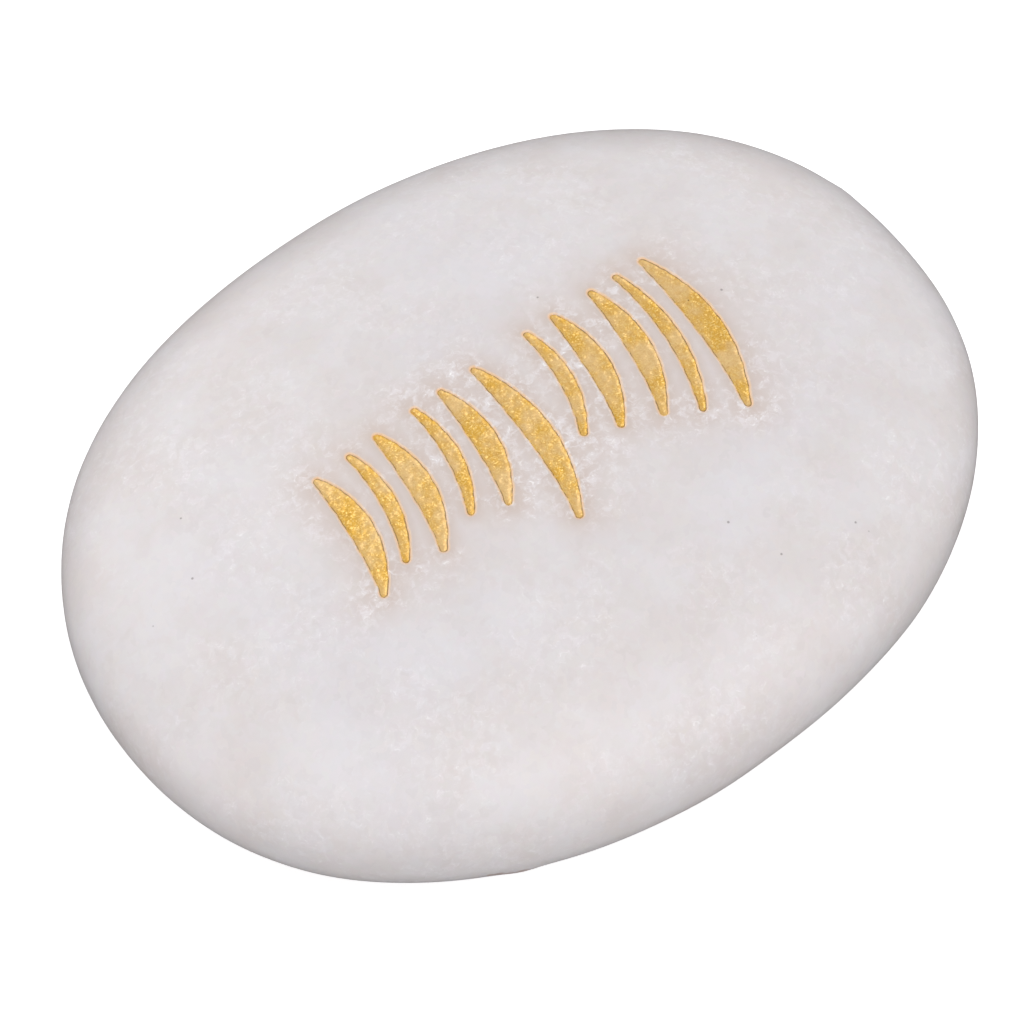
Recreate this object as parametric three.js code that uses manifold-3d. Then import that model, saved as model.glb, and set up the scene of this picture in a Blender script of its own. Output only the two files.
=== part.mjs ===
// Engraved keepsake stone: a flat oval pebble of white marble, tumbled smooth, with one row of
// shallow gold-painted strokes engraved in the middle of its top face.
// Millimetres and degrees. +X runs along the pebble and along the row of strokes, +Y is the side
// that the strokes point to, +Z is up. The origin is at the middle of the underside.

import * as THREE from 'three';
import { mergeVertices, toCreasedNormals } from 'three/addons/utils/BufferGeometryUtils.js';
import Module from 'manifold-3d';

const wasm = await Module();
wasm.setup();

// Driving dimensions of the pebble
const LENGTH = 60.1;
const WIDTH = 46.9;
const THICKNESS = 17;
const GIRDLE_HEIGHT = 8.2;
const UNDERSIDE_WORN = 0.2;
const PLAN_SQUARENESS = 2.1;
const CROWN_SQUARENESS = 2.3;
const UNDERSIDE_SQUARENESS = 2.4;

// Gentle waves in the oval outline: how many round the pebble, how strong as a share of its radius,
// and where one crests
const OUTLINE_WAVES = [
  { count: 4, share: 0.0064, crest: 33 },
  { count: 6, share: 0.0023, crest: 19 },
];

// The girdle, where the pebble is widest, isn't level: it rises and dips by these heights
const GIRDLE_WAVES = [
  { count: 1, lift: 0.28, crest: 70 },
  { count: 2, lift: 0.22, crest: -25 },
  { count: 3, lift: 0.1, crest: 10 },
];

// Driving dimensions of the engraved row
const STROKE_DEPTH = 0.42;
const STROKE_END_RADIUS = 0.24;
const ROW_START = -13.4;
const ROW_FOOT = -4.5;
const TALL = { rise: 12.1, lean: 9, bow: 1.0, width: 1.75, belly: 0.9 };
const TALL_FINE = { rise: 10.8, lean: 12, bow: 0.95, width: 1.0, belly: 0.95 };
const MIDDLE = { rise: 9.6, lean: 14, bow: 0.85, width: 1.55, belly: 0.9 };
const SHORT = { rise: 8.7, lean: 13, bow: 0.8, width: 1.6, belly: 0.9 };
const SHORT_FINE = { rise: 7.8, lean: 15, bow: 0.75, width: 1.0, belly: 0.95 };
const ROW = [
  { form: TALL, step: 0 },
  { form: TALL_FINE, step: 2.05 },
  { form: MIDDLE, step: 2.0 },
  { form: SHORT, step: 3.0 },
  { form: SHORT_FINE, step: 2.1 },
  { form: TALL, step: 4.15 },
  { form: SHORT, step: 2.6 },
  { form: SHORT_FINE, step: 2.1 },
  { form: SHORT, step: 2.95 },
  { form: SHORT_FINE, step: 2.1 },
  { form: SHORT, step: 2.55 },
];

// How finely the faces follow the curves
const FACES_AROUND = 84;
const FACES_OVER = 34;
const STROKE_STEPS = 10;
const CAP_STEPS = 4;
const CREASE = 30;

const radians = THREE.MathUtils.degToRad;

const marble = new THREE.MeshStandardMaterial({ color: 0xe1dddf, roughness: 0.5, metalness: 0 });
marble.name = 'white_marble';
const goldPaint = new THREE.MeshStandardMaterial({ color: 0xd8aa52, roughness: 0.42, metalness: 0.9 });
goldPaint.name = 'gold_paint';

// The height of a wave that runs round the pebble, as a share of its crest.
function waveAt(angle, { count, crest }) {
  return Math.cos(count * (angle - radians(crest)));
}

// The oval seen from above: a slightly squared ellipse whose radius swells and dips in a few waves.
function planRadius(angle) {
  const along = Math.abs(Math.cos(angle) / (LENGTH / 2)) ** PLAN_SQUARENESS;
  const across = Math.abs(Math.sin(angle) / (WIDTH / 2)) ** PLAN_SQUARENESS;
  const oval = (along + across) ** (-1 / PLAN_SQUARENESS);
  return oval * OUTLINE_WAVES.reduce((sum, wave) => sum + wave.share * waveAt(angle, wave), 1);
}

// The height of the girdle on that side of the pebble.
function girdleHeight(angle) {
  return GIRDLE_WAVES.reduce((sum, wave) => sum + wave.lift * waveAt(angle, wave), GIRDLE_HEIGHT);
}

// A point on the pebble. Latitude is 90 degrees at the crown, 0 at the girdle and -90 underneath.
function pebblePoint(angle, latitude) {
  const above = latitude >= 0;
  const power = 2 / (above ? CROWN_SQUARENESS : UNDERSIDE_SQUARENESS);
  const reach = planRadius(angle) * Math.max(Math.cos(latitude), 0) ** power;
  const climb = Math.abs(Math.sin(latitude)) ** power;
  const girdle = girdleHeight(angle);
  const height = above
    ? girdle + climb * (THICKNESS - girdle)
    : girdle - climb * (girdle + UNDERSIDE_WORN);
  return new THREE.Vector3(reach * Math.cos(angle), reach * Math.sin(angle), height);
}

// The whole pebble, before its underside is worn flat: a ball whose points move to the pebble's skin.
function pebbleGeometry() {
  const ball = new THREE.SphereGeometry(1, FACES_AROUND, FACES_OVER).rotateX(Math.PI / 2);
  const place = ball.attributes.position;
  const onBall = new THREE.Vector3();
  for (let i = 0; i < place.count; i += 1) {
    onBall.fromBufferAttribute(place, i).normalize();
    const latitude = Math.asin(THREE.MathUtils.clamp(onBall.z, -1, 1));
    const point = pebblePoint(Math.atan2(onBall.y, onBall.x), latitude);
    place.setXYZ(i, point.x, point.y, point.z);
  }
  return ball;
}

// One stroke is shaped like a slim leaf: a leaning line, bowed to one side as a parabola, thick in
// the belly and thin at its two round ends. The outline runs up one side and down the other.
function strokeShape(form, foot) {
  const length = form.rise / Math.cos(radians(form.lean));
  const along = new THREE.Vector2(Math.sin(radians(form.lean)), Math.cos(radians(form.lean)));
  const aside = new THREE.Vector2(-along.y, along.x);
  const line = (t) => foot.clone()
    .addScaledVector(along, t * length)
    .addScaledVector(aside, 4 * form.bow * t * (1 - t));
  const heading = (t) => along.clone()
    .multiplyScalar(length)
    .addScaledVector(aside, 4 * form.bow * (1 - 2 * t))
    .normalize();
  const halfWidth = (t) => STROKE_END_RADIUS
    + (form.width / 2 - STROKE_END_RADIUS) * Math.max(Math.sin(Math.PI * t ** form.belly), 0);
  const edge = (t, side) => {
    const ahead = heading(t);
    return line(t).addScaledVector(new THREE.Vector2(ahead.y, -ahead.x), side * halfWidth(t));
  };
  const cap = (t, start) => {
    const from = heading(t).angle() + start;
    const turn = (i) => from + (Math.PI * i) / CAP_STEPS;
    return Array.from({ length: CAP_STEPS - 1 }, (_, i) => line(t).add(
      new THREE.Vector2(Math.cos(turn(i + 1)), Math.sin(turn(i + 1))).multiplyScalar(STROKE_END_RADIUS),
    ));
  };
  const shares = Array.from({ length: STROKE_STEPS + 1 }, (_, i) => i / STROKE_STEPS);
  return new THREE.Shape([
    ...shares.map((t) => edge(t, 1)),
    ...cap(1, -Math.PI / 2),
    ...shares.map((t) => edge(1 - t, -1)),
    ...cap(0, Math.PI / 2),
  ]);
}

// The outlines of the whole row, each foot one step along from the last.
function rowShapes() {
  let along = ROW_START;
  return ROW.map(({ form, step }) => {
    along += step;
    return strokeShape(form, new THREE.Vector2(along, ROW_FOOT));
  });
}

// A closed geometry as a solid that can be joined and cut.
function solidOf(geometry) {
  const bare = geometry.clone();
  bare.deleteAttribute('normal');
  bare.deleteAttribute('uv');
  const welded = mergeVertices(bare);
  return new wasm.Manifold(new wasm.Mesh({
    numProp: 3,
    vertProperties: new Float32Array(welded.attributes.position.array),
    triVerts: new Uint32Array(welded.index.array),
  })).asOriginal();
}

// The cut solid as a geometry again. Faces left by the pebble's own skin or by its worn underside
// are bare marble, and every other face lies in a stroke and is painted.
function geometryOf(solid, bareIds) {
  const mesh = solid.getMesh();
  const geometry = new THREE.BufferGeometry();
  geometry.setAttribute('position', new THREE.BufferAttribute(new Float32Array(mesh.vertProperties), 3));
  geometry.setIndex(new THREE.BufferAttribute(new Uint32Array(mesh.triVerts), 1));
  mesh.runOriginalID.forEach((id, run) => {
    const start = mesh.runIndex[run];
    geometry.addGroup(start, mesh.runIndex[run + 1] - start, bareIds.includes(id) ? 0 : 1);
  });
  return toCreasedNormals(geometry, radians(CREASE));
}

// The stone: the underside is worn flat by a block, and each stroke goes down to a floor that
// follows the crown at the stroke's depth.
function makeStone() {
  const whole = solidOf(pebbleGeometry());
  const floor = solidOf(pebbleGeometry().translate(0, 0, -STROKE_DEPTH));
  const block = solidOf(new THREE.BoxGeometry(LENGTH, WIDTH, THICKNESS).translate(0, 0, -THICKNESS / 2));
  const prisms = rowShapes()
    .map((shape) => new THREE.ExtrudeGeometry(shape, { depth: THICKNESS, bevelEnabled: false }))
    .map((prism) => solidOf(prism.translate(0, 0, THICKNESS / 2)));
  const worn = whole.subtract(block);
  const engraved = prisms.reduce((stone, prism) => stone.subtract(prism.subtract(floor)), worn);
  const stone = new THREE.Mesh(
    geometryOf(engraved, [whole.originalID(), block.originalID()]),
    [marble, goldPaint],
  );
  stone.name = 'stone';
  return stone;
}

const keepsake = new THREE.Group();
keepsake.add(makeStone());

export default keepsake;
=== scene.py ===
# %% [markdown]
# An engraved keepsake stone: one flat oval pebble of white marble, tumbled smooth, with a row of
# shallow strokes cut into its top face and painted gold. The pebble is a solid that the frame
# already holds with coarse faces. Here it gets a fine skin of its own, because marble's soft
# light shows every facet, and the paint becomes a second thin piece that lies in the strokes.

# %% Load the frame
import math

import bpy
import numpy as np
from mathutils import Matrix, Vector


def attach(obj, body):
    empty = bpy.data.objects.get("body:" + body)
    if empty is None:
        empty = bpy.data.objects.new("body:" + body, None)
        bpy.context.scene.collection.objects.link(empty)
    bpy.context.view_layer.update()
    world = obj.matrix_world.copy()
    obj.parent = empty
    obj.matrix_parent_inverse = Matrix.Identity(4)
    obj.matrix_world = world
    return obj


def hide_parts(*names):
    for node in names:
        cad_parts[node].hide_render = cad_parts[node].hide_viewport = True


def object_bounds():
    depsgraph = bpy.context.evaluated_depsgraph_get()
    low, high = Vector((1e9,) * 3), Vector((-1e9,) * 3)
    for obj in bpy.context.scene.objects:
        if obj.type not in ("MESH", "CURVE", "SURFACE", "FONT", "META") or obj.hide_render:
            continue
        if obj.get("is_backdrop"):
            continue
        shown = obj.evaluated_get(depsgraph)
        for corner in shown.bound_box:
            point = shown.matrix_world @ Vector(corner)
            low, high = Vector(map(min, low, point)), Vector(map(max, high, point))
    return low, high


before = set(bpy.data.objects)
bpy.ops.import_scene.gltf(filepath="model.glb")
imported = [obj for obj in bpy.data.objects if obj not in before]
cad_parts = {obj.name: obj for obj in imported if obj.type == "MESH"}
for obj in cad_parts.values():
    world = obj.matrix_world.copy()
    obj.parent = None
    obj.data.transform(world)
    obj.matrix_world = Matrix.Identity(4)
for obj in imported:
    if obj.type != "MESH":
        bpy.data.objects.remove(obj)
cad_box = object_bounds()
MM = 0.001
print("CAD box in mm:", [[round(v / MM, 2) for v in corner] for corner in cad_box])

# %% [markdown]
# The photograph looks down at the lying stone from about 55 degrees, so evenly that no
# perspective can be measured. A long lens from well back gives that. The camera could be placed
# by hand, but working its distance out from the lens and from how many millimetres one pixel
# covers puts the stone on the same pixels as in the photograph.

# %% Camera
FRAME_PIXELS = 1024
MM_PER_PIXEL = 0.06075
LENS_MM = 500
SENSOR_MM = 36
CAMERA_ELEVATION = 55.3
CAMERA_SIDE = 50.05
STONE_IN_FRAME = (520.9, 496.8)


def add_camera():
    """A long lens looks along the photo's direction. Its aim is moved sideways in the picture
    plane, so that the stone's middle falls on its own pixel."""
    up_angle, side_angle = math.radians(CAMERA_ELEVATION), math.radians(CAMERA_SIDE)
    back = Vector((math.cos(side_angle) * math.cos(up_angle),
                   math.sin(side_angle) * math.cos(up_angle), math.sin(up_angle)))
    turn = (-back).to_track_quat("-Z", "Y")
    right, up = turn @ Vector((1, 0, 0)), turn @ Vector((0, 1, 0))
    pixel = MM_PER_PIXEL * MM
    middle = (cad_box[0] + cad_box[1]) / 2
    aim = middle + right * (FRAME_PIXELS / 2 - STONE_IN_FRAME[0]) * pixel
    aim = aim + up * (STONE_IN_FRAME[1] - FRAME_PIXELS / 2) * pixel
    data = bpy.data.cameras.new("camera")
    data.lens = LENS_MM
    data.sensor_width = SENSOR_MM
    distance = pixel * FRAME_PIXELS * LENS_MM / SENSOR_MM
    data.clip_start, data.clip_end = distance / 100, distance * 20
    camera = bpy.data.objects.new("camera", data)
    camera.location = aim + back * distance
    camera.rotation_mode = "QUATERNION"
    camera.rotation_quaternion = turn
    bpy.context.scene.collection.objects.link(camera)
    bpy.context.scene.camera = camera
    return distance


print("camera distance in mm:", round(add_camera() / MM))

# %% [markdown]
# A tumbled pebble is nearly an ellipsoid, but a little squarer, because the drum wears its
# corners last. A squared ellipse gives that with one exponent each for the outline, the crown
# and the underside. Slow waves round the outline and up and down along the girdle keep it from
# looking turned on a lathe. These are the same formulas and sizes as in the solid.

# %% The pebble's form
LENGTH, WIDTH, THICKNESS = 60.1, 46.9, 17.0
GIRDLE_HEIGHT, UNDERSIDE_WORN = 8.2, 0.2
PLAN_SQUARENESS, CROWN_SQUARENESS, UNDERSIDE_SQUARENESS = 2.1, 2.3, 2.4
OUTLINE_WAVES = ((4, 0.0064, 33), (6, 0.0023, 19))
GIRDLE_WAVES = ((1, 0.28, 70), (2, 0.22, -25), (3, 0.1, 10))


def waves(angle, rows):
    """Sum of cosines round the pebble. Each row gives the count, the size and where one crests."""
    return sum(size * np.cos(count * (angle - np.radians(crest))) for count, size, crest in rows)


def plan_radius(angle):
    """Radius of the outline: the squared ellipse |x/a|^n + |y/b|^n = 1, times its waves."""
    along = np.abs(np.cos(angle) / (LENGTH / 2)) ** PLAN_SQUARENESS
    across = np.abs(np.sin(angle) / (WIDTH / 2)) ** PLAN_SQUARENESS
    return (along + across) ** (-1 / PLAN_SQUARENESS) * (1 + waves(angle, OUTLINE_WAVES))


def pebble_point(angle, latitude):
    """Point at an angle round the pebble and a latitude, 90 degrees at the crown and -90 under
    it. Reach and height are powers of the latitude's cosine and sine, and the underside is worn
    level where it would go below the table."""
    power = 2 / np.where(latitude >= 0, CROWN_SQUARENESS, UNDERSIDE_SQUARENESS)
    reach = plan_radius(angle) * np.maximum(np.cos(latitude), 0) ** power
    climb = np.abs(np.sin(latitude)) ** power
    girdle = GIRDLE_HEIGHT + waves(angle, GIRDLE_WAVES)
    height = np.where(latitude >= 0, girdle + climb * (THICKNESS - girdle),
                      girdle - climb * (girdle + UNDERSIDE_WORN))
    return np.stack([reach * np.cos(angle), reach * np.sin(angle), np.maximum(height, 0)], -1)


def latitude_on_crown(x, y):
    """Latitude of the crown's point above x, y: the reach formula solved for the latitude."""
    share = np.hypot(x, y) / plan_radius(np.arctan2(y, x))
    return np.arccos(np.clip(share ** (CROWN_SQUARENESS / 2), 0, 1))


def crown_height(x, y):
    """Height of the crown above x, y, before it is engraved."""
    return pebble_point(np.arctan2(y, x), latitude_on_crown(x, y))[..., 2]


print("crown in mm:", crown_height(np.array([0.0, 20.0]), np.array([0.0, 0.0])).round(2))

# %% [markdown]
# The engraver's strokes are slim leaves. Each is a leaning line that bows to one side, thick in
# the belly and thin at its round ends. The groove could be cut with a boolean, but a field of
# distances is smoother and gives more: the same numbers shape the groove's wall, place the
# paint and tint the stone beside it. A stroke is taken as a row of overlapping discs, so the
# distance inside its edge is the largest disc radius less the way to that disc's centre.

# %% The engraved row
STROKE_DEPTH, STROKE_END_RADIUS = 0.42, 0.24
ROW_START, ROW_FOOT = -13.4, -4.5
FORMS = {
    "tall": dict(rise=12.1, lean=9, bow=1.0, width=1.75, belly=0.9),
    "tall_fine": dict(rise=10.8, lean=12, bow=0.95, width=1.0, belly=0.95),
    "middle": dict(rise=9.6, lean=14, bow=0.85, width=1.55, belly=0.9),
    "short": dict(rise=8.7, lean=13, bow=0.8, width=1.6, belly=0.9),
    "short_fine": dict(rise=7.8, lean=15, bow=0.75, width=1.0, belly=0.95),
}
ROW = (("tall", 0), ("tall_fine", 2.05), ("middle", 2.0), ("short", 3.0), ("short_fine", 2.1),
       ("tall", 4.15), ("short", 2.6), ("short_fine", 2.1), ("short", 2.95),
       ("short_fine", 2.1), ("short", 2.55))
TOOL_WAVES = ((5.1, 2.3, 0.0, 0.012), (-3.2, 6.4, 1.7, 0.010), (9.7, -5.9, 0.6, 0.007),
              (1.9, 11.8, 2.9, 0.006))
FAR_FROM_PAINT = -4.0
DISCS_PER_STROKE = 200


def stroke_line(form, foot, t):
    """Middle line, unit sideways direction and half width of a stroke at shares t of its length.
    The line bows as a parabola, and the width swells as a half sine."""
    lean = np.radians(form["lean"])
    length = form["rise"] / np.cos(lean)
    along = np.array([np.sin(lean), np.cos(lean)])
    aside = np.array([-along[1], along[0]])
    t = t[:, None]
    line = foot + along * length * t + aside * 4 * form["bow"] * t * (1 - t)
    ahead = along * length + aside * 4 * form["bow"] * (1 - 2 * t)
    ahead = ahead / np.linalg.norm(ahead, axis=1, keepdims=True)
    sideways = np.stack([ahead[:, 1], -ahead[:, 0]], -1)
    swell = np.sin(np.pi * t[:, 0] ** form["belly"]).clip(0)
    return line, sideways, STROKE_END_RADIUS + (form["width"] / 2 - STROKE_END_RADIUS) * swell


def row_of_strokes():
    """Every stroke's form and foot, each foot one step along from the last."""
    feet = ROW_START + np.cumsum([step for _, step in ROW])
    return [(FORMS[name], np.array([foot, ROW_FOOT])) for (name, _), foot in zip(ROW, feet)]


def edge_wobble(x, y):
    """How far the hand-held tool strayed at x, y, in mm: a sum of slanting sine waves. Each row
    gives the turn per mm along x and along y, where the wave starts and its size."""
    return sum(size * np.sin(turn_x * x + turn_y * y + start)
               for turn_x, turn_y, start, size in TOOL_WAVES)


def depth_inside(x, y):
    """Distance in mm from each x, y to the nearest stroke's edge, positive inside the stroke and
    negative outside. Far away it stays at one value."""
    flat = np.stack([x.ravel(), y.ravel()], -1)
    inside = np.full(len(flat), FAR_FROM_PAINT)
    for form, foot in row_of_strokes():
        line, _, half = stroke_line(form, foot, np.linspace(0, 1, DISCS_PER_STROKE))
        low, high = line.min(0) + FAR_FROM_PAINT, line.max(0) - FAR_FROM_PAINT
        near = np.flatnonzero(((flat > low) & (flat < high)).all(1))
        if len(near):
            away = np.hypot(flat[near, 0, None] - line[:, 0], flat[near, 1, None] - line[:, 1])
            inside[near] = np.maximum(inside[near], (half - away).max(1))
    return inside.reshape(x.shape) + edge_wobble(x, y)


print("strokes:", len(ROW), "- depth inside the first one's middle in mm:",
      depth_inside(np.array([-13.5]), np.array([1.5])).round(2))

# %% [markdown]
# Tumbling leaves a pebble smooth but never quite regular: the light drifts over very low swells.
# A subdivision surface would keep the ideal form, and a displacement modifier would need a
# texture. A sum of a few cosine waves in space does it directly, and the same sum can be added
# to the paint, so that both keep together. Two small knobs on the edge show in the outline.

# %% Uneven skin
SWELL_SEED, SWELL_COUNT = 50, 26
SWELL_LENGTHS = (5.0, 18.0)
SWELL_HEIGHT = 0.012
SKIN_INSET = 0.02
FLAT_FADE = 0.6
KNOBS = (((-29.16, -3.77, 10.3), 0.08, 0.9), ((16.2, 19.4, 5.5), 0.11, 1.1))


def smooth_step(value):
    """Ramp from 0 to 1 that starts and ends level: 3s^2 - 2s^3 with s clipped to 0..1."""
    share = np.clip(value, 0, 1)
    return share * share * (3 - 2 * share)


def swells(points):
    """Sum of cosines whose directions, lengths and phases are drawn once from a fixed seed. A
    longer swell is a higher one."""
    draw = np.random.default_rng(SWELL_SEED)
    heading = draw.normal(size=(SWELL_COUNT, 3))
    heading /= np.linalg.norm(heading, axis=1, keepdims=True)
    length = draw.uniform(*SWELL_LENGTHS, SWELL_COUNT)
    phase = draw.uniform(0, 2 * np.pi, SWELL_COUNT)
    height = SWELL_HEIGHT * length / SWELL_LENGTHS[1]
    turns = points @ (heading * 2 * np.pi / length[:, None]).T + phase
    return (height * np.cos(turns)).sum(-1)


def knobs(points):
    """Low round bumps: a bell curve of the distance from each one's middle."""
    return sum(height * np.exp(-(((points - place) / reach) ** 2).sum(-1))
               for place, height, reach in KNOBS)


def weathered(points):
    """Points of the ideal pebble moved out or in to its real skin, along the normal of the
    ellipsoid that fits it. The move fades to nothing where the underside is worn level."""
    half = np.array([LENGTH, WIDTH, THICKNESS]) / 2
    outward = (points - [0, 0, GIRDLE_HEIGHT]) / half ** 2
    outward /= np.linalg.norm(outward, axis=-1, keepdims=True)
    lift = swells(points) + knobs(points) - SKIN_INSET
    lift *= smooth_step(points[..., 2] / FLAT_FADE)
    return points + outward * lift[..., None]


around = pebble_point(*np.meshgrid(np.linspace(-3, 3), np.linspace(-1, 1)))
print("swells in mm, from lowest to highest:", np.ptp(swells(around)).round(3))

# %% [markdown]
# The engraved part of the crown is a fine grid, because a groove's lip is only a tenth of a
# millimetre wide. Grid points close to a lip slide onto it, so that its line runs clean instead
# of in steps. Round the grid, rings carry the surface over the shoulder and underneath to one
# closing point. They start with one column for each point on the grid's border, and twice
# every second column ends, because the plain skin needs far fewer.

# %% The stone's mesh
PATCH_LOW, PATCH_HIGH, PATCH_CELLS = (-15.3, -5.6), (15.3, 8.7), (436, 156)
SNAP_REACH = 0.03
SLOPE_STEP, LEAST_STEEPNESS = 0.004, 0.25
LIP_ROUNDING, WALL_RUN = 0.05, 0.16
FIRST_RING, RING_GROWTH, WIDEST_RING = 0.1, 1.25, 0.6
CROWN_RINGS, UNDERSIDE_RINGS = 30, 40
THINNED_AT, EVEN_FROM = (2, 10), 0.8


def groove_depth(inside):
    """How deep the marble lies below the crown: a smooth ramp that starts just outside the lip
    and reaches the floor at the wall's foot."""
    return STROKE_DEPTH * smooth_step((inside + LIP_ROUNDING) / (WALL_RUN + LIP_ROUNDING))


def slid_to_lip(x, y):
    """Points within reach of a lip move onto it, along the slope of the distance field. A least
    steepness keeps the move short where the field is nearly level."""
    inside = depth_inside(x, y)
    slope_x = (depth_inside(x + SLOPE_STEP, y) - inside) / SLOPE_STEP
    slope_y = (depth_inside(x, y + SLOPE_STEP) - inside) / SLOPE_STEP
    steepness = np.maximum(slope_x ** 2 + slope_y ** 2, LEAST_STEEPNESS)
    move = np.where(np.abs(inside) < SNAP_REACH, -inside / steepness, 0)
    return x + move * slope_x, y + move * slope_y


def patch_points():
    """The engraved grid: crown height over x, y, weathered, then sunk by the groove's depth."""
    x, y = np.meshgrid(*(np.linspace(low, high, cells + 1)
                         for low, high, cells in zip(PATCH_LOW, PATCH_HIGH, PATCH_CELLS)))
    x, y = slid_to_lip(x, y)
    points = weathered(np.stack([x, y, crown_height(x, y)], -1))
    points[..., 2] -= groove_depth(depth_inside(x, y))
    return points, x, y


def ring_places():
    """Place of each ring, from 0 on the grid's border over 1 at the girdle to 2 underneath. The
    rings widen by a fixed ratio until they are as wide as the plain skin allows."""
    widths = np.minimum(FIRST_RING * RING_GROWTH ** np.arange(CROWN_RINGS), WIDEST_RING)
    crown = np.cumsum(widths) / widths.sum()
    return np.concatenate([crown, 1 + np.arange(1, UNDERSIDE_RINGS) / UNDERSIDE_RINGS])


def ring_points(place, angle, latitude):
    """One ring: the border's angles even out on the way, and its latitudes sink to the girdle
    and on to the pole below."""
    even = 2 * np.pi * np.arange(len(angle)) / len(angle)
    even += (angle - even).mean()
    share = smooth_step(place / EVEN_FROM)
    level = latitude * (1 - place) if place <= 1 else np.full(len(angle), -np.pi / 2 * (place - 1))
    return weathered(pebble_point(angle + share * (even - angle), level))


def band(inner, outer):
    """Faces between two rings of point numbers. With equal counts they are quads, and where the
    outer ring has half as many, three triangles fill each of its steps."""
    after = np.roll(outer, -1)
    if len(inner) == len(outer):
        return [np.stack([inner, outer, after, np.roll(inner, -1)], -1)]
    left, middle, right = inner[::2], inner[1::2], np.roll(inner, -2)[::2]
    return [np.stack(rows, -1) for rows in
            ((left, outer, middle), (middle, outer, after), (middle, after, right))]


def mesh_object(name, points, faces):
    """A smooth-shaded object from points in mm and arrays of faces."""
    mesh = bpy.data.meshes.new(name)
    mesh.from_pydata((points * MM).tolist(), [], [face for rows in faces for face in rows.tolist()])
    mesh.shade_smooth()
    piece = bpy.data.objects.new(name, mesh)
    bpy.context.scene.collection.objects.link(piece)
    return piece


def add_attribute(piece, name, values):
    """One number for each point, which a material can read."""
    piece.data.attributes.new(name, "FLOAT", "POINT").data.foreach_set("value", values)


def make_stone():
    """The patch, its border walked round once, the rings and the closing point underneath."""
    grid, x, y = patch_points()
    number = np.arange(x.size).reshape(x.shape)
    border = np.concatenate([number[0, :-1], number[:-1, -1], number[-1, :0:-1], number[:0:-1, 0]])
    angle = np.unwrap(np.arctan2(y.ravel()[border], x.ravel()[border]))
    latitude = latitude_on_crown(x.ravel()[border], y.ravel()[border])
    parts, count = [grid.reshape(-1, 3)], x.size
    faces = [np.stack([number[:-1, :-1], number[:-1, 1:], number[1:, 1:], number[1:, :-1]],
                      -1).reshape(-1, 4)]
    ring, columns = border, np.arange(len(border))
    for index, place in enumerate(ring_places()):
        if index in THINNED_AT:
            columns = columns[::2]
        parts.append(ring_points(place, angle, latitude)[columns])
        following = count + np.arange(len(columns))
        faces += band(ring, following)
        ring, count = following, count + len(columns)
    parts.append(weathered(pebble_point(np.zeros(1), np.full(1, -np.pi / 2))))
    faces.append(np.stack([ring, np.full(len(ring), count), np.roll(ring, -1)], -1))
    points = np.concatenate(parts)
    piece = mesh_object("stone_skin", points, faces)
    on_top = points[:, 2] > GIRDLE_HEIGHT
    away = np.where(on_top, -depth_inside(points[:, 0], points[:, 1]), -FAR_FROM_PAINT)
    add_attribute(piece, "from_paint", away)
    return piece


stone_skin = make_stone()
print("stone_skin:", len(stone_skin.data.vertices), "points,",
      sum(len(p.vertices) - 2 for p in stone_skin.data.polygons), "triangles")

# %% [markdown]
# Gold paint pools in each stroke. It fills most of the groove and leaves a shallow hollow with
# soft corners, and it is grainy because its pigment is metal flakes. It could be a second
# material on the groove's faces, but then its border would follow the grid. As a closed leaf in
# each stroke it has its own fine rows, its grain is real relief, and its rim tucks in under the
# lip.

# %% The paint in the strokes
ROWS_ALONG, ROWS_IN_CAP = 200, 9
TOP_LINES, UNDER_LINES = 27, 6
EDGE_CROWDING = 0.5
RIM_TUCK, RIM_SLOPE = 0.07, 2.0
PAINT_LIP, PAINT_THICKNESS, PAINT_FILLET = 0.07, 0.30, 0.26
LEAF_BACK, BACK_REACH = 0.05, 0.9
GRAIN_SEED, GRAIN_COUNT = 5, 40
GRAIN_LENGTHS, GRAIN_HEIGHT = (0.15, 0.9), 0.0035


def paint_grain(x, y):
    """Relief of the dried flakes: a sum of short cosine waves with seeded headings. Longer waves
    are higher."""
    draw = np.random.default_rng(GRAIN_SEED)
    heading = draw.uniform(0, 2 * np.pi, GRAIN_COUNT)
    length = draw.uniform(*GRAIN_LENGTHS, GRAIN_COUNT)
    phase = draw.uniform(0, 2 * np.pi, GRAIN_COUNT)
    rows = zip(heading, 2 * np.pi / length, phase, GRAIN_HEIGHT * length / GRAIN_LENGTHS[1])
    return sum(height * np.cos(turn * (x * np.cos(h) + y * np.sin(h)) + start)
               for h, turn, start, height in rows)


def paint_depth(inside):
    """How deep the paint lies below the crown. From the lip it rounds down to the floor, and
    outside the lip it dives under the marble."""
    floor = STROKE_DEPTH - PAINT_THICKNESS
    pool = PAINT_LIP + (floor - PAINT_LIP) * smooth_step(inside / PAINT_FILLET)
    return np.where(inside < 0, PAINT_LIP - RIM_SLOPE * inside, pool)


def leaf_sections(form, foot):
    """Middles, sideways directions and half widths of the cross-sections, from one tip to the
    other. In the round caps the middle runs on by a sine and the width shrinks by a cosine."""
    line, side, half = stroke_line(form, foot, np.linspace(0, 1, ROWS_ALONG))
    half = half + RIM_TUCK
    ahead = np.stack([-side[:, 1], side[:, 0]], -1)
    turn = np.linspace(0, np.pi / 2, ROWS_IN_CAP + 2)[1:-1, None]
    start = line[0] - ahead[0] * half[0] * np.sin(turn[::-1])
    end = line[-1] + ahead[-1] * half[-1] * np.sin(turn)
    caps = [np.repeat(side[i:i + 1], ROWS_IN_CAP, 0) for i in (0, ROWS_ALONG - 1)]
    return (np.concatenate([start, line, end]), np.concatenate([caps[0], side, caps[1]]),
            np.concatenate([half[0] * np.cos(turn[::-1, 0]), half, half[-1] * np.cos(turn[:, 0])]))


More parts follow.
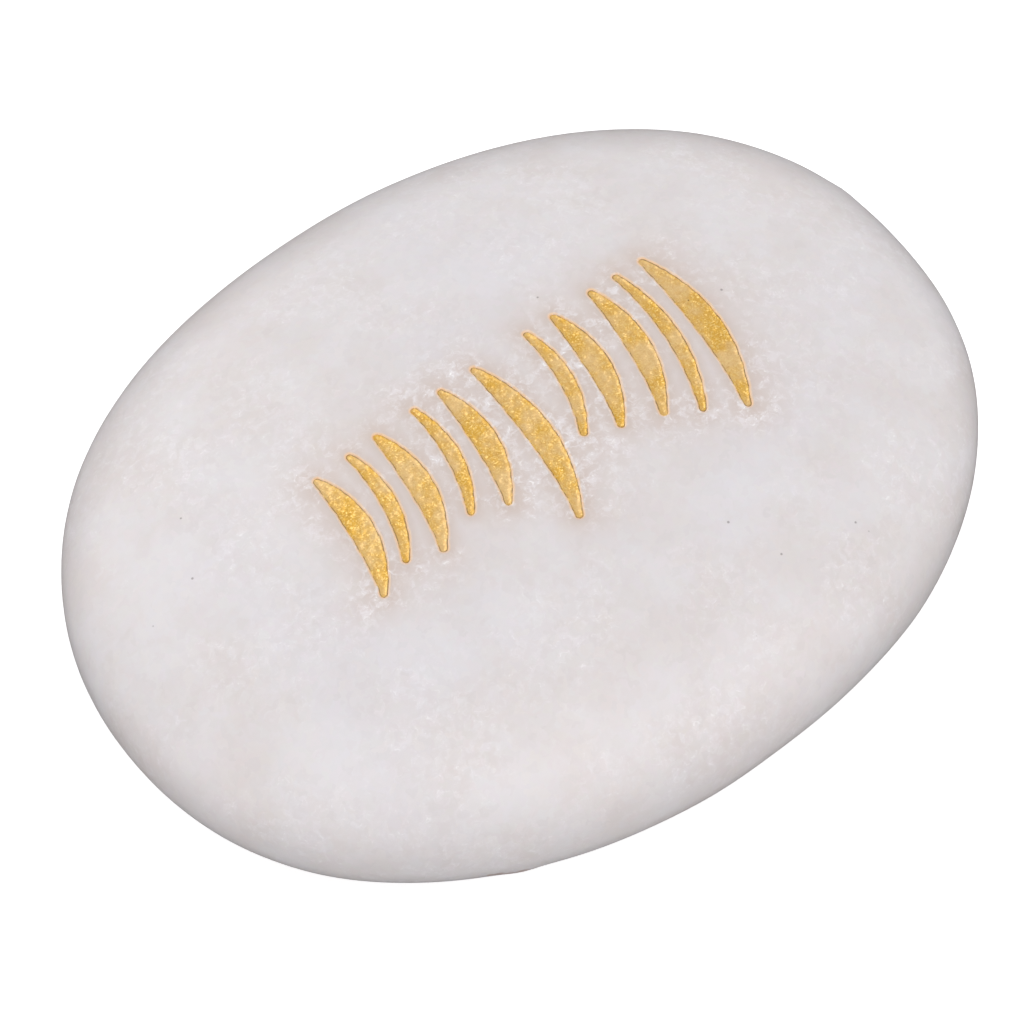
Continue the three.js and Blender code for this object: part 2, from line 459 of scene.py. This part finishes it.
def leaf_points(form, foot):
    """One stroke's leaf as sections by points: over the top from side to side, with the lines
    crowded towards the rims, and back underneath inside the marble."""
    middle, side, half = leaf_sections(form, foot)
    share = np.linspace(-1, 1, TOP_LINES)
    over = share + EDGE_CROWDING * np.sin(np.pi * share) / np.pi
    back = np.linspace(BACK_REACH, -BACK_REACH, UNDER_LINES)
    across = half[:, None] * np.concatenate([over, back])
    x, y = (middle[:, None, i] + side[:, None, i] * across for i in (0, 1))
    inside = depth_inside(x, y)
    depth = paint_depth(inside) - paint_grain(x, y) * smooth_step(inside / PAINT_FILLET)
    depth[:, TOP_LINES:] = np.maximum(groove_depth(inside), paint_depth(inside))[:, TOP_LINES:]
    depth[:, TOP_LINES:] += LEAF_BACK
    points = weathered(np.stack([x, y, crown_height(x, y)], -1))
    points[..., 2] -= depth
    return points, inside


def make_paint():
    """Every stroke's leaf in one mesh. Sections join by quads, and both tips close in a point."""
    points, insides, faces, count = [], [], [], 0
    for form, foot in row_of_strokes():
        leaf, inside = leaf_points(form, foot)
        rows, lines = inside.shape
        number = count + np.arange(rows * lines).reshape(rows, lines)
        beside = np.roll(number, -1, axis=1)
        faces.append(np.stack([number[:-1], beside[:-1], beside[1:], number[1:]], -1).reshape(-1, 4))
        tips = [leaf[0].mean(0), leaf[-1].mean(0)]
        count += rows * lines + 2
        faces.append(np.stack([beside[0], number[0], np.full(lines, count - 2)], -1))
        faces.append(np.stack([number[-1], beside[-1], np.full(lines, count - 1)], -1))
        points += [leaf.reshape(-1, 3), tips]
        insides += [inside.ravel(), [inside[0].mean(), inside[-1].mean()]]
    piece = mesh_object("gold_strokes", np.concatenate(points), faces)
    add_attribute(piece, "from_rim", np.concatenate(insides))
    return piece


gold_strokes = make_paint()
print("gold_strokes:", len(gold_strokes.data.vertices), "points,",
      sum(len(p.vertices) - 2 for p in gold_strokes.data.polygons), "triangles")

# %% [markdown]
# The pebble is calcite marble, crystalline and nearly white, tumbled to a satin skin. Light sinks
# in and spreads, which softens every shadow. Most grains, about half a millimetre wide, are clear
# and look faintly grey or pink, each a little different. Where they are bruised, they gather in
# milky, feathery veils. Where they cleave towards the eye, the veils are also painted lighter as
# glints, and single bright specks of white are painted in as glints too. A few pepper specks of
# other minerals and a trace of wax polish complete it. Round the strokes the stone is painted
# warmer and darker: partly wiped-off varnish left there, partly painted shade where the paint
# swallows light inside the stone. Along each lip runs a painted warm glow of light. Most of it is
# drawn from noise in real millimetres, because a photograph wrapped round the stone would stretch
# at its sides.

# %% White marble
GRAIN_MM, BEND_MM, RELIEF_MM = 0.55, 0.9, 0.35
FEATHER_MM, GLINT_MM, CLUSTER_MM, CLOUD_MM, TINT_MM = 0.65, 0.18, 5.0, 4.5, 15.0
STAIN_AND_SHADE_REACH, LIP_GLOW_REACH, BRUISE_REACH = 1.35, 0.2, 3.0
GRAIN_SHIFT, VEIL_FAR, VEIL_NEAR, GLINT_SHARE = 0.018, 0.26, 0.62, 1.3
CLEAR, MILKY, PINKISH, BLUISH = "#D1CBCB", "#D5D1D3", "#DCCFCC", "#D3D1D8"
# The veil colour is partly painted glint, the spark colour is a painted glint, the stain colour is
# partly painted shade, and the cream colour is a painted warm glow.
VEIL_AND_GLINT, PAINTED_GLINT_WHITE, STAIN_AND_SHADE, PAINTED_LIP_GLOW = "#EBE9EE", "#FFFFFF", "#C7B7AF", "#F2C698"
PEPPER, RUST = "#6E6664", "#AC8B80"
SPECKS = (((-6.6, -6.3, 16.7), 0.11, PEPPER), ((-15.8, 0.1, 16.0), 0.12, PEPPER),
          ((19.5, -8.6, 14.8), 0.10, PEPPER), ((21.7, -4.8, 14.7), 0.11, PEPPER),
          ((-5.1, 13.3, 15.8), 0.11, PEPPER), ((-11.8, 17.3, 14.0), 0.10, PEPPER),
          ((-12.2, 18.1, 13.6), 0.10, PEPPER), ((-6.5, 16.6, 14.8), 0.10, PEPPER),
          ((-2.0, 19.6, 13.7), 0.08, PEPPER), ((25.2, -4.3, 13.5), 0.10, PEPPER),
          ((15.7, 19.9, 5.6), 0.35, RUST), ((16.3, 19.6, 5.8), 0.60, RUST),
          ((16.6, 19.4, 5.2), 0.40, RUST), ((17.0, 19.2, 5.8), 0.50, RUST),
          ((17.6, 18.9, 6.2), 0.45, RUST), ((18.1, 18.7, 6.3), 0.30, RUST))
SMOOTH = {"interpolation_type": "SMOOTHSTEP"}
COLOUR = {"data_type": "RGBA"}


def linear(code):
    """A colour written as sRGB hex digits, turned to linear light: a straight part below 4% and
    a power of 2.4 above."""
    shares = [int(code[i:i + 2], 16) / 255 for i in (1, 3, 5)]
    return (*(v / 12.92 if v <= 0.04045 else ((v + 0.055) / 1.055) ** 2.4 for v in shares), 1)


def add(tree, kind, inputs, **settings):
    """Adds a node. Settings are its own properties. An input is a plain value, one output of
    another node, or a whole node, which stands for the first output that it has in use."""
    node = tree.nodes.new(kind)
    for name, value in settings.items():
        setattr(node, name, value)
    for name, value in inputs.items():
        if isinstance(value, bpy.types.Node):
            value = next(output for output in value.outputs if output.enabled)
        if isinstance(value, bpy.types.NodeSocket):
            tree.links.new(value, node.inputs[name])
        else:
            node.inputs[name].default_value = value
    return node


def new_material(name):
    """A material with only its output, and its node tree."""
    material = bpy.data.materials.new(name)
    material.use_nodes = True
    material.node_tree.nodes.clear()
    return material, material.node_tree


def in_millimetres(tree):
    """Object coordinates times a thousand, so that a pattern's scale is one over its size in mm."""
    place = add(tree, "ShaderNodeTexCoord", {}).outputs["Object"]
    return add(tree, "ShaderNodeVectorMath", {0: place, "Scale": 1 / MM}, operation="SCALE")


def bent_by_noise(tree, place):
    """Places moved by a noise about as wide as a grain, so that no border runs straight."""
    bend = add(tree, "ShaderNodeTexNoise", {"Vector": place, "Scale": 1 / GRAIN_MM, "Detail": 1})
    bend = add(tree, "ShaderNodeVectorMath", {0: bend.outputs["Color"], "Scale": BEND_MM},
               operation="SCALE")
    return add(tree, "ShaderNodeVectorMath", {0: place, 1: bend}, operation="ADD")


def clouds_and_tints(tree, place):
    """Clear stone with milkier clouds in it, and a breath of pink and of blue over wide areas."""
    clouds = add(tree, "ShaderNodeTexNoise", {
        "Vector": place, "Scale": 1 / CLOUD_MM, "Detail": 4, "Roughness": 0.6})
    share = add(tree, "ShaderNodeMapRange", {"Value": clouds, "From Min": 0.35, "From Max": 0.65},
                **SMOOTH)
    tone = add(tree, "ShaderNodeMix", {0: share, 6: linear(CLEAR), 7: linear(MILKY)}, **COLOUR)
    tint = add(tree, "ShaderNodeTexNoise", {"Vector": place, "Scale": 1 / TINT_MM, "Detail": 1})
    for edge, end, most, colour in ((0.52, 0.72, 0.14, PINKISH), (0.48, 0.28, 0.3, BLUISH)):
        share = add(tree, "ShaderNodeMapRange", {
            "Value": tint, "From Min": edge, "From Max": end, "To Max": most}, **SMOOTH)
        tone = add(tree, "ShaderNodeMix", {0: share, 6: tone, 7: linear(colour)}, **COLOUR)
    return tone


def with_grains(tree, place, tone):
    """Every crystal grain, a Voronoi cell, shifts the tone by its own faint colour."""
    grains = add(tree, "ShaderNodeTexVoronoi", {"Vector": place, "Scale": 1 / GRAIN_MM})
    faint = add(tree, "ShaderNodeHueSaturation", {"Color": grains.outputs["Color"],
                                                  "Saturation": 0.34})
    return add(tree, "ShaderNodeMix", {0: GRAIN_SHIFT, 6: tone, 7: faint},
               blend_type="LINEAR_LIGHT", **COLOUR)


def with_veils_and_glints(tree, place, unevenness, tone):
    """Milky veils in loose clusters, partly bruised grains and partly painted glint where grains
    cleave towards the eye, with painted glints of white inside them. Both are stronger near the
    strokes, where the tool bruised the crystals."""
    clusters = add(tree, "ShaderNodeMapRange", {
        "Value": unevenness, "From Min": 0.38, "From Max": 0.62}, **SMOOTH)
    feathers = add(tree, "ShaderNodeTexNoise", {
        "Vector": place, "Scale": 1 / FEATHER_MM, "Detail": 4, "Roughness": 0.65})
    feathers = add(tree, "ShaderNodeMapRange", {
        "Value": feathers, "From Min": 0.42, "From Max": 0.72}, **SMOOTH)
    veil_and_glint = add(tree, "ShaderNodeMath", {0: clusters, 1: feathers}, operation="MULTIPLY")
    away = add(tree, "ShaderNodeAttribute", {}, attribute_name="from_paint").outputs["Fac"]
    bruised = add(tree, "ShaderNodeMapRange", {
        "Value": away, "From Min": BRUISE_REACH, "From Max": 0, "To Min": VEIL_FAR,
        "To Max": VEIL_NEAR}, **SMOOTH)
    share = add(tree, "ShaderNodeMath", {0: veil_and_glint, 1: bruised}, operation="MULTIPLY")
    tone = add(tree, "ShaderNodeMix", {0: share, 6: tone, 7: linear(VEIL_AND_GLINT)}, **COLOUR)
    # Painted glints: single white specks inside the veils.
    painted_glints = add(tree, "ShaderNodeTexNoise", {"Vector": place, "Scale": 1 / GLINT_MM, "Detail": 1})
    painted_glints = add(tree, "ShaderNodeMapRange", {
        "Value": painted_glints, "From Min": 0.56, "From Max": 0.78, "To Max": GLINT_SHARE}, **SMOOTH)
    share = add(tree, "ShaderNodeMath", {0: share, 1: painted_glints}, operation="MULTIPLY")
    return add(tree, "ShaderNodeMix", {0: share, 6: tone, 7: linear(PAINTED_GLINT_WHITE)}, **COLOUR)


def with_stain_shade_and_glow(tree, unevenness, tone):
    """Around the strokes the stone is faintly warmer and darker: partly varnish that was wiped off
    the face and left it stained, partly painted shade where the paint swallows light inside the
    stone. Its share is 1/e to the power of the distance over its reach, and the reach is uneven, as
    the wiping was. A thin cream line along each lip is a painted warm glow of light leaving the
    stone beside the gold."""
    away = add(tree, "ShaderNodeAttribute", {}, attribute_name="from_paint").outputs["Fac"]
    reach = add(tree, "ShaderNodeMapRange", {
        "Value": unevenness, "From Min": 0.3, "From Max": 0.7, "To Min": 0.5 * STAIN_AND_SHADE_REACH,
        "To Max": 1.5 * STAIN_AND_SHADE_REACH})
    # Painted shade, partly real staining: warm darkening that fades away from the strokes.
    reaches = add(tree, "ShaderNodeMath", {0: away, 1: reach}, operation="DIVIDE")
    stain_and_shade = add(tree, "ShaderNodeMath", {0: 1 / math.e, 1: reaches}, operation="POWER",
                use_clamp=True)
    # Painted warm glow of light along each lip.
    painted_lip_glow = add(tree, "ShaderNodeMapRange", {
        "Value": away, "From Min": LIP_GLOW_REACH, "From Max": 0, "To Max": 0.95}, **SMOOTH)
    for share, colour in ((stain_and_shade, STAIN_AND_SHADE), (painted_lip_glow, PAINTED_LIP_GLOW)):
        tone = add(tree, "ShaderNodeMix", {0: share, 6: tone, 7: linear(colour)}, **COLOUR)
    return tone


def with_specks(tree, place, tone):
    """Round specks at fixed places. Each row gives the middle, the radius and the colour, and a
    speck fades out from half its radius to the whole. A few that overlap make the rust smear on
    the edge."""
    for middle, radius, colour in SPECKS:
        away = add(tree, "ShaderNodeVectorMath", {0: place, 1: middle}, operation="DISTANCE")
        share = add(tree, "ShaderNodeMapRange", {
            "Value": away.outputs["Value"], "From Min": radius, "From Max": radius / 2,
            "To Max": 0.6}, **SMOOTH)
        tone = add(tree, "ShaderNodeMix", {0: share, 6: tone, 7: linear(colour)}, **COLOUR)
    return tone


def make_tumbled_marble():
    """The layers of tone over each other, on a satin skin that light sinks into. The coat is the
    wax, whose index is lower than the stone's."""
    material, tree = new_material("tumbled_marble")
    place = in_millimetres(tree)
    bent = bent_by_noise(tree, place)
    unevenness = add(tree, "ShaderNodeTexNoise", {
        "Vector": place, "Scale": 1 / CLUSTER_MM, "Detail": 3, "Roughness": 0.6})
    tone = with_grains(tree, bent, clouds_and_tints(tree, bent))
    tone = with_veils_and_glints(tree, bent, unevenness, with_stain_shade_and_glow(tree, unevenness, tone))
    tone = with_specks(tree, place, tone)
    relief = add(tree, "ShaderNodeTexNoise", {"Vector": place, "Scale": 1 / RELIEF_MM, "Detail": 0})
    bump = add(tree, "ShaderNodeBump", {"Height": relief, "Strength": 0.3, "Distance": 0.02 * MM})
    sheen = add(tree, "ShaderNodeMapRange", {
        "Value": relief, "From Min": 0.3, "From Max": 0.7, "To Min": 0.3, "To Max": 0.42})
    stone = add(tree, "ShaderNodeBsdfPrincipled", {
        "Base Color": tone, "Roughness": sheen, "IOR": 1.56, "Normal": bump,
        "Subsurface Weight": 0.5, "Subsurface Radius": (1.0, 0.93, 0.9),
        "Subsurface Scale": 1.0 * MM, "Coat Weight": 0.3, "Coat IOR": 1.3, "Coat Roughness": 0.12})
    add(tree, "ShaderNodeOutputMaterial", {"Surface": stone})
    return material


stone_skin.data.materials.append(make_tumbled_marble())
print("tumbled_marble:", len(stone_skin.data.materials[0].node_tree.nodes), "nodes")

# %% [markdown]
# The gold is bronze-powder paint: metal flakes in clear varnish, wiped into the strokes. Each flake
# lies at its own slight tilt, so single ones flash where they mirror the lamp and others stay dull,
# and some flakes are also painted paler, as glints. It dried patchy: where the varnish pooled the
# gold is paler and its flakes drown. Thin brown streaks cross it, and a broken brown line runs along
# the rim, partly darker paint and partly painted shade of the groove's wall. Flakes are finer than
# a pixel, so they are drawn at 0.085 mm to show, each cell of a Voronoi pattern with one tilt of its
# own.

# %% Gold paint
FLAKE_MM, STREAK_MM, PATCH_MM = 0.085, 0.35, 2.4
FLAKE_TILT, DROWNED_TILT = 0.48, 0.20
PINHOLE_APART_MM, PINHOLE_MM = 1.5, 0.07
RIM_MM, BREAK_MM = 0.11, 0.6
# The flake colour is a painted glint, and the brown rim colour is partly painted shade.
GOLD, POOLED_GOLD, PAINTED_FLAKE_GLINT = "#E1B151", "#E6C288", "#FFE9A6"
STREAK, BROWN_RIM_AND_SHADE, PINHOLE = "#C4913F", "#7C6248", "#6A4722"
MID_GREY = (0.5, 0.5, 0.5)


def patchy_gold(tree, place, pooled):
    """Yellow gold, paler where the varnish has pooled, and crossed by thin brown streaks."""
    tone = add(tree, "ShaderNodeMix", {0: pooled, 6: linear(GOLD), 7: linear(POOLED_GOLD)},
               **COLOUR)
    streaks = add(tree, "ShaderNodeTexNoise", {
        "Vector": place, "Scale": 1 / STREAK_MM, "Detail": 4, "Roughness": 0.7, "Distortion": 0.8})
    share = add(tree, "ShaderNodeMapRange", {
        "Value": streaks, "From Min": 0.5, "From Max": 0.72, "To Max": 0.4}, **SMOOTH)
    return add(tree, "ShaderNodeMix", {0: share, 6: tone, 7: linear(STREAK)}, **COLOUR)


def with_rim_and_shade(tree, place, tone):
    """A thin brown line along the rim, broken by noise: partly darker paint, partly painted shade
    of the groove's wall.
    """
    rim = add(tree, "ShaderNodeAttribute", {}, attribute_name="from_rim").outputs["Fac"]
    breaks = add(tree, "ShaderNodeTexNoise", {"Vector": place, "Scale": 1 / BREAK_MM, "Detail": 3})
    most = add(tree, "ShaderNodeMapRange", {
        "Value": breaks, "From Min": 0.35, "From Max": 0.6, "To Max": 0.9}, **SMOOTH)
    # Partly painted shade of the groove's wall.
    share = add(tree, "ShaderNodeMapRange", {
        "Value": rim, "From Min": RIM_MM, "From Max": 0, "To Max": most}, **SMOOTH)
    return add(tree, "ShaderNodeMix", {0: share, 6: tone, 7: linear(BROWN_RIM_AND_SHADE)}, **COLOUR)


def with_pinholes(tree, place, tone):
    """Small dark pinholes where the paint missed, in every second cell of a wide Voronoi net."""
    net = add(tree, "ShaderNodeTexVoronoi", {"Vector": place, "Scale": 1 / PINHOLE_APART_MM})
    chance = add(tree, "ShaderNodeSeparateColor", {0: net.outputs["Color"]})
    most = add(tree, "ShaderNodeMapRange", {"Value": chance, "From Min": 0.5, "From Max": 0.52,
                                            "To Max": 0.75})
    radius = PINHOLE_MM / PINHOLE_APART_MM
    share = add(tree, "ShaderNodeMapRange", {
        "Value": net.outputs["Distance"], "From Min": radius, "From Max": radius / 2,
        "To Max": most}, **SMOOTH)
    return add(tree, "ShaderNodeMix", {0: share, 6: tone, 7: linear(PINHOLE)}, **COLOUR)


def make_gold_paint():
    """Flakes with tilts of their own over patchy gold, and paler tones painted on some of them as
    glints. Where the varnish has pooled, they drown in it and show less. Each flake's tilt is its
    cell's random colour less mid grey, read as a direction and added to the surface's own."""
    material, tree = new_material("gold_paint")
    place = in_millimetres(tree)
    pooled = add(tree, "ShaderNodeTexNoise", {
        "Vector": place, "Scale": 1 / PATCH_MM, "Detail": 4, "Roughness": 0.6})
    pooled = add(tree, "ShaderNodeMapRange", {
        "Value": pooled, "From Min": 0.35, "From Max": 0.65}, **SMOOTH)
    flakes = add(tree, "ShaderNodeTexVoronoi", {"Vector": place, "Scale": 1 / FLAKE_MM})
    number = add(tree, "ShaderNodeSeparateColor", {0: flakes.outputs["Color"]})
    most = add(tree, "ShaderNodeMapRange", {"Value": pooled, "To Min": 0.36, "To Max": 0.18})
    share = add(tree, "ShaderNodeMapRange", {
        "Value": number, "From Min": 0.55, "From Max": 1, "To Max": most}, **SMOOTH)
    # Paler flakes here are painted glints.
    tone = add(tree, "ShaderNodeMix", {
        0: share, 6: patchy_gold(tree, place, pooled), 7: linear(PAINTED_FLAKE_GLINT)}, **COLOUR)
    tone = with_pinholes(tree, place, with_rim_and_shade(tree, place, tone))
    tilt = add(tree, "ShaderNodeVectorMath", {0: flakes.outputs["Color"], 1: MID_GREY},
               operation="SUBTRACT")
    slope = add(tree, "ShaderNodeMapRange", {
        "Value": pooled, "To Min": FLAKE_TILT, "To Max": DROWNED_TILT})
    tilt = add(tree, "ShaderNodeVectorMath", {0: tilt, "Scale": slope}, operation="SCALE")
    upright = add(tree, "ShaderNodeNewGeometry", {}).outputs["Normal"]
    turned = add(tree, "ShaderNodeVectorMath", {0: upright, 1: tilt}, operation="ADD")
    turned = add(tree, "ShaderNodeVectorMath", {0: turned}, operation="NORMALIZE")
    shine = add(tree, "ShaderNodeMapRange", {"Value": number, "To Min": 0.5, "To Max": 0.28})
    paint = add(tree, "ShaderNodeBsdfPrincipled", {
        "Base Color": tone, "Metallic": 0.9, "Roughness": shine, "Normal": turned})
    add(tree, "ShaderNodeOutputMaterial", {"Surface": paint})
    return material


gold_strokes.data.materials.append(make_gold_paint())
print("gold_paint:", len(gold_strokes.data.materials[0].node_tree.nodes), "nodes")

# %% [markdown]
# The stone lies on a white, faintly glowing sheet, like a lit table in a studio, so that only the
# deepest part of its shadow shows. Around it is a bright room: even light from above, a bounce off
# the table that is strongest sideways and fades straight down, where the stone stands in its own
# shadow, and three big soft lamps, two in front and one behind. A sun would cut a hard shadow, and
# bare lamps would show as spots in the gold. The bounce comes from the room and not from the sheet
# itself, so that the underside can be looked at from below. In reflections it is dim, as a grey
# table top would be: that draws the thin grey line along the stone's rim.

# %% Floor and light
FLOOR_SPAN, FLOOR_GLOW = 1.6, 0.52
SHEET_WHITE = "#E7E7E7"
SKY, HORIZON, NADIR = 1.05, 1.46, 0.40
HORIZON_BLUR, DIM_IN_REFLECTIONS = 0.02, 0.1
LAMP_SPAN, LAMP_DISTANCE = 0.5, 0.6
LAMPS = ((0.70, 62, 5), (0.56, 38, 50), (0.64, 38, -130))


def make_floor():
    """A square sheet, its corners at half the span each way. Only the camera sees it, and not
    from below."""
    corner = FLOOR_SPAN / 2 / MM
    points = np.array([(x, y, 0) for x, y in ((-1, -1), (1, -1), (1, 1), (-1, 1))]) * corner
    floor = mesh_object("floor", points, [np.array([[0, 1, 2, 3]])])
    floor.visible_diffuse = floor.visible_glossy = False
    floor.visible_transmission = floor.visible_shadow = False
    material, tree = new_material("lit_sheet")
    sheet = add(tree, "ShaderNodeBsdfPrincipled", {
        "Base Color": linear(SHEET_WHITE), "Roughness": 1.0, "Specular IOR Level": 0.0,
        "Emission Color": (1, 1, 1, 1), "Emission Strength": FLOOR_GLOW})
    clear = add(tree, "ShaderNodeBsdfTransparent", {})
    below = add(tree, "ShaderNodeNewGeometry", {}).outputs["Backfacing"]
    sheet = add(tree, "ShaderNodeMixShader", {0: below, 1: sheet, 2: clear})
    add(tree, "ShaderNodeOutputMaterial", {"Surface": sheet})
    floor.data.materials.append(material)
    return floor


def make_room():
    """Light from all round: one strength above the horizon, and below it a straight ramp from the
    horizon's strength to the one straight down."""
    world = bpy.data.worlds.new("room")
    world.use_nodes = True
    tree = world.node_tree
    tree.nodes.clear()
    way = add(tree, "ShaderNodeTexCoord", {}).outputs["Generated"]
    height = add(tree, "ShaderNodeSeparateXYZ", {0: way}).outputs["Z"]
    dimmed = add(tree, "ShaderNodeMapRange", {
        "Value": add(tree, "ShaderNodeLightPath", {}).outputs["Is Glossy Ray"],
        "To Min": 1.0, "To Max": DIM_IN_REFLECTIONS})
    ground = add(tree, "ShaderNodeMapRange", {
        "Value": height, "From Min": -1, "From Max": 0, "To Min": NADIR, "To Max": HORIZON})
    ground = add(tree, "ShaderNodeMath", {0: ground, 1: dimmed}, operation="MULTIPLY")
    strength = add(tree, "ShaderNodeMapRange", {
        "Value": height, "From Min": -HORIZON_BLUR, "From Max": HORIZON_BLUR, "To Min": ground,
        "To Max": SKY})
    light = add(tree, "ShaderNodeBackground", {"Strength": strength})
    add(tree, "ShaderNodeOutputWorld", {"Surface": light})
    bpy.context.scene.world = world


def hang_lamps():
    """Square lamps that face the stone. Each row gives a lamp's watts, its elevation and how far
    to the camera's right it stands, in degrees."""
    for index, (watts, elevation, side) in enumerate(LAMPS):
        name = f"lamp_{index + 1}"
        lamp = bpy.data.lights.new(name, "AREA")
        lamp.energy, lamp.size = watts, LAMP_SPAN
        up_angle, side_angle = math.radians(elevation), math.radians(CAMERA_SIDE + side)
        away = Vector((math.cos(side_angle) * math.cos(up_angle),
                       math.sin(side_angle) * math.cos(up_angle), math.sin(up_angle)))
        holder = bpy.data.objects.new(name, lamp)
        holder.location = away * LAMP_DISTANCE
        holder.rotation_mode = "QUATERNION"
        holder.rotation_quaternion = away.to_track_quat("Z", "Y")
        bpy.context.scene.collection.objects.link(holder)


floor = make_floor()
floor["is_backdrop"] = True
make_room()
hang_lamps()
bpy.context.scene.view_settings.view_transform = "Standard"
print("lamps in watts:", [watts for watts, _, _ in LAMPS])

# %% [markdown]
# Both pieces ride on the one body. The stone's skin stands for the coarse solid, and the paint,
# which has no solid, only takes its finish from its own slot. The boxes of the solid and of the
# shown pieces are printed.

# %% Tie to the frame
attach(stone_skin, "root")
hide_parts("stone")
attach(gold_strokes, "root")

sizes = {"cad": [list(corner) for corner in cad_box],
         "visual": [list(corner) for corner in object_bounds()]}
for name, corners in sizes.items():
    print(name, "box in mm:", [[round(v / MM, 3) for v in corner] for corner in corners])
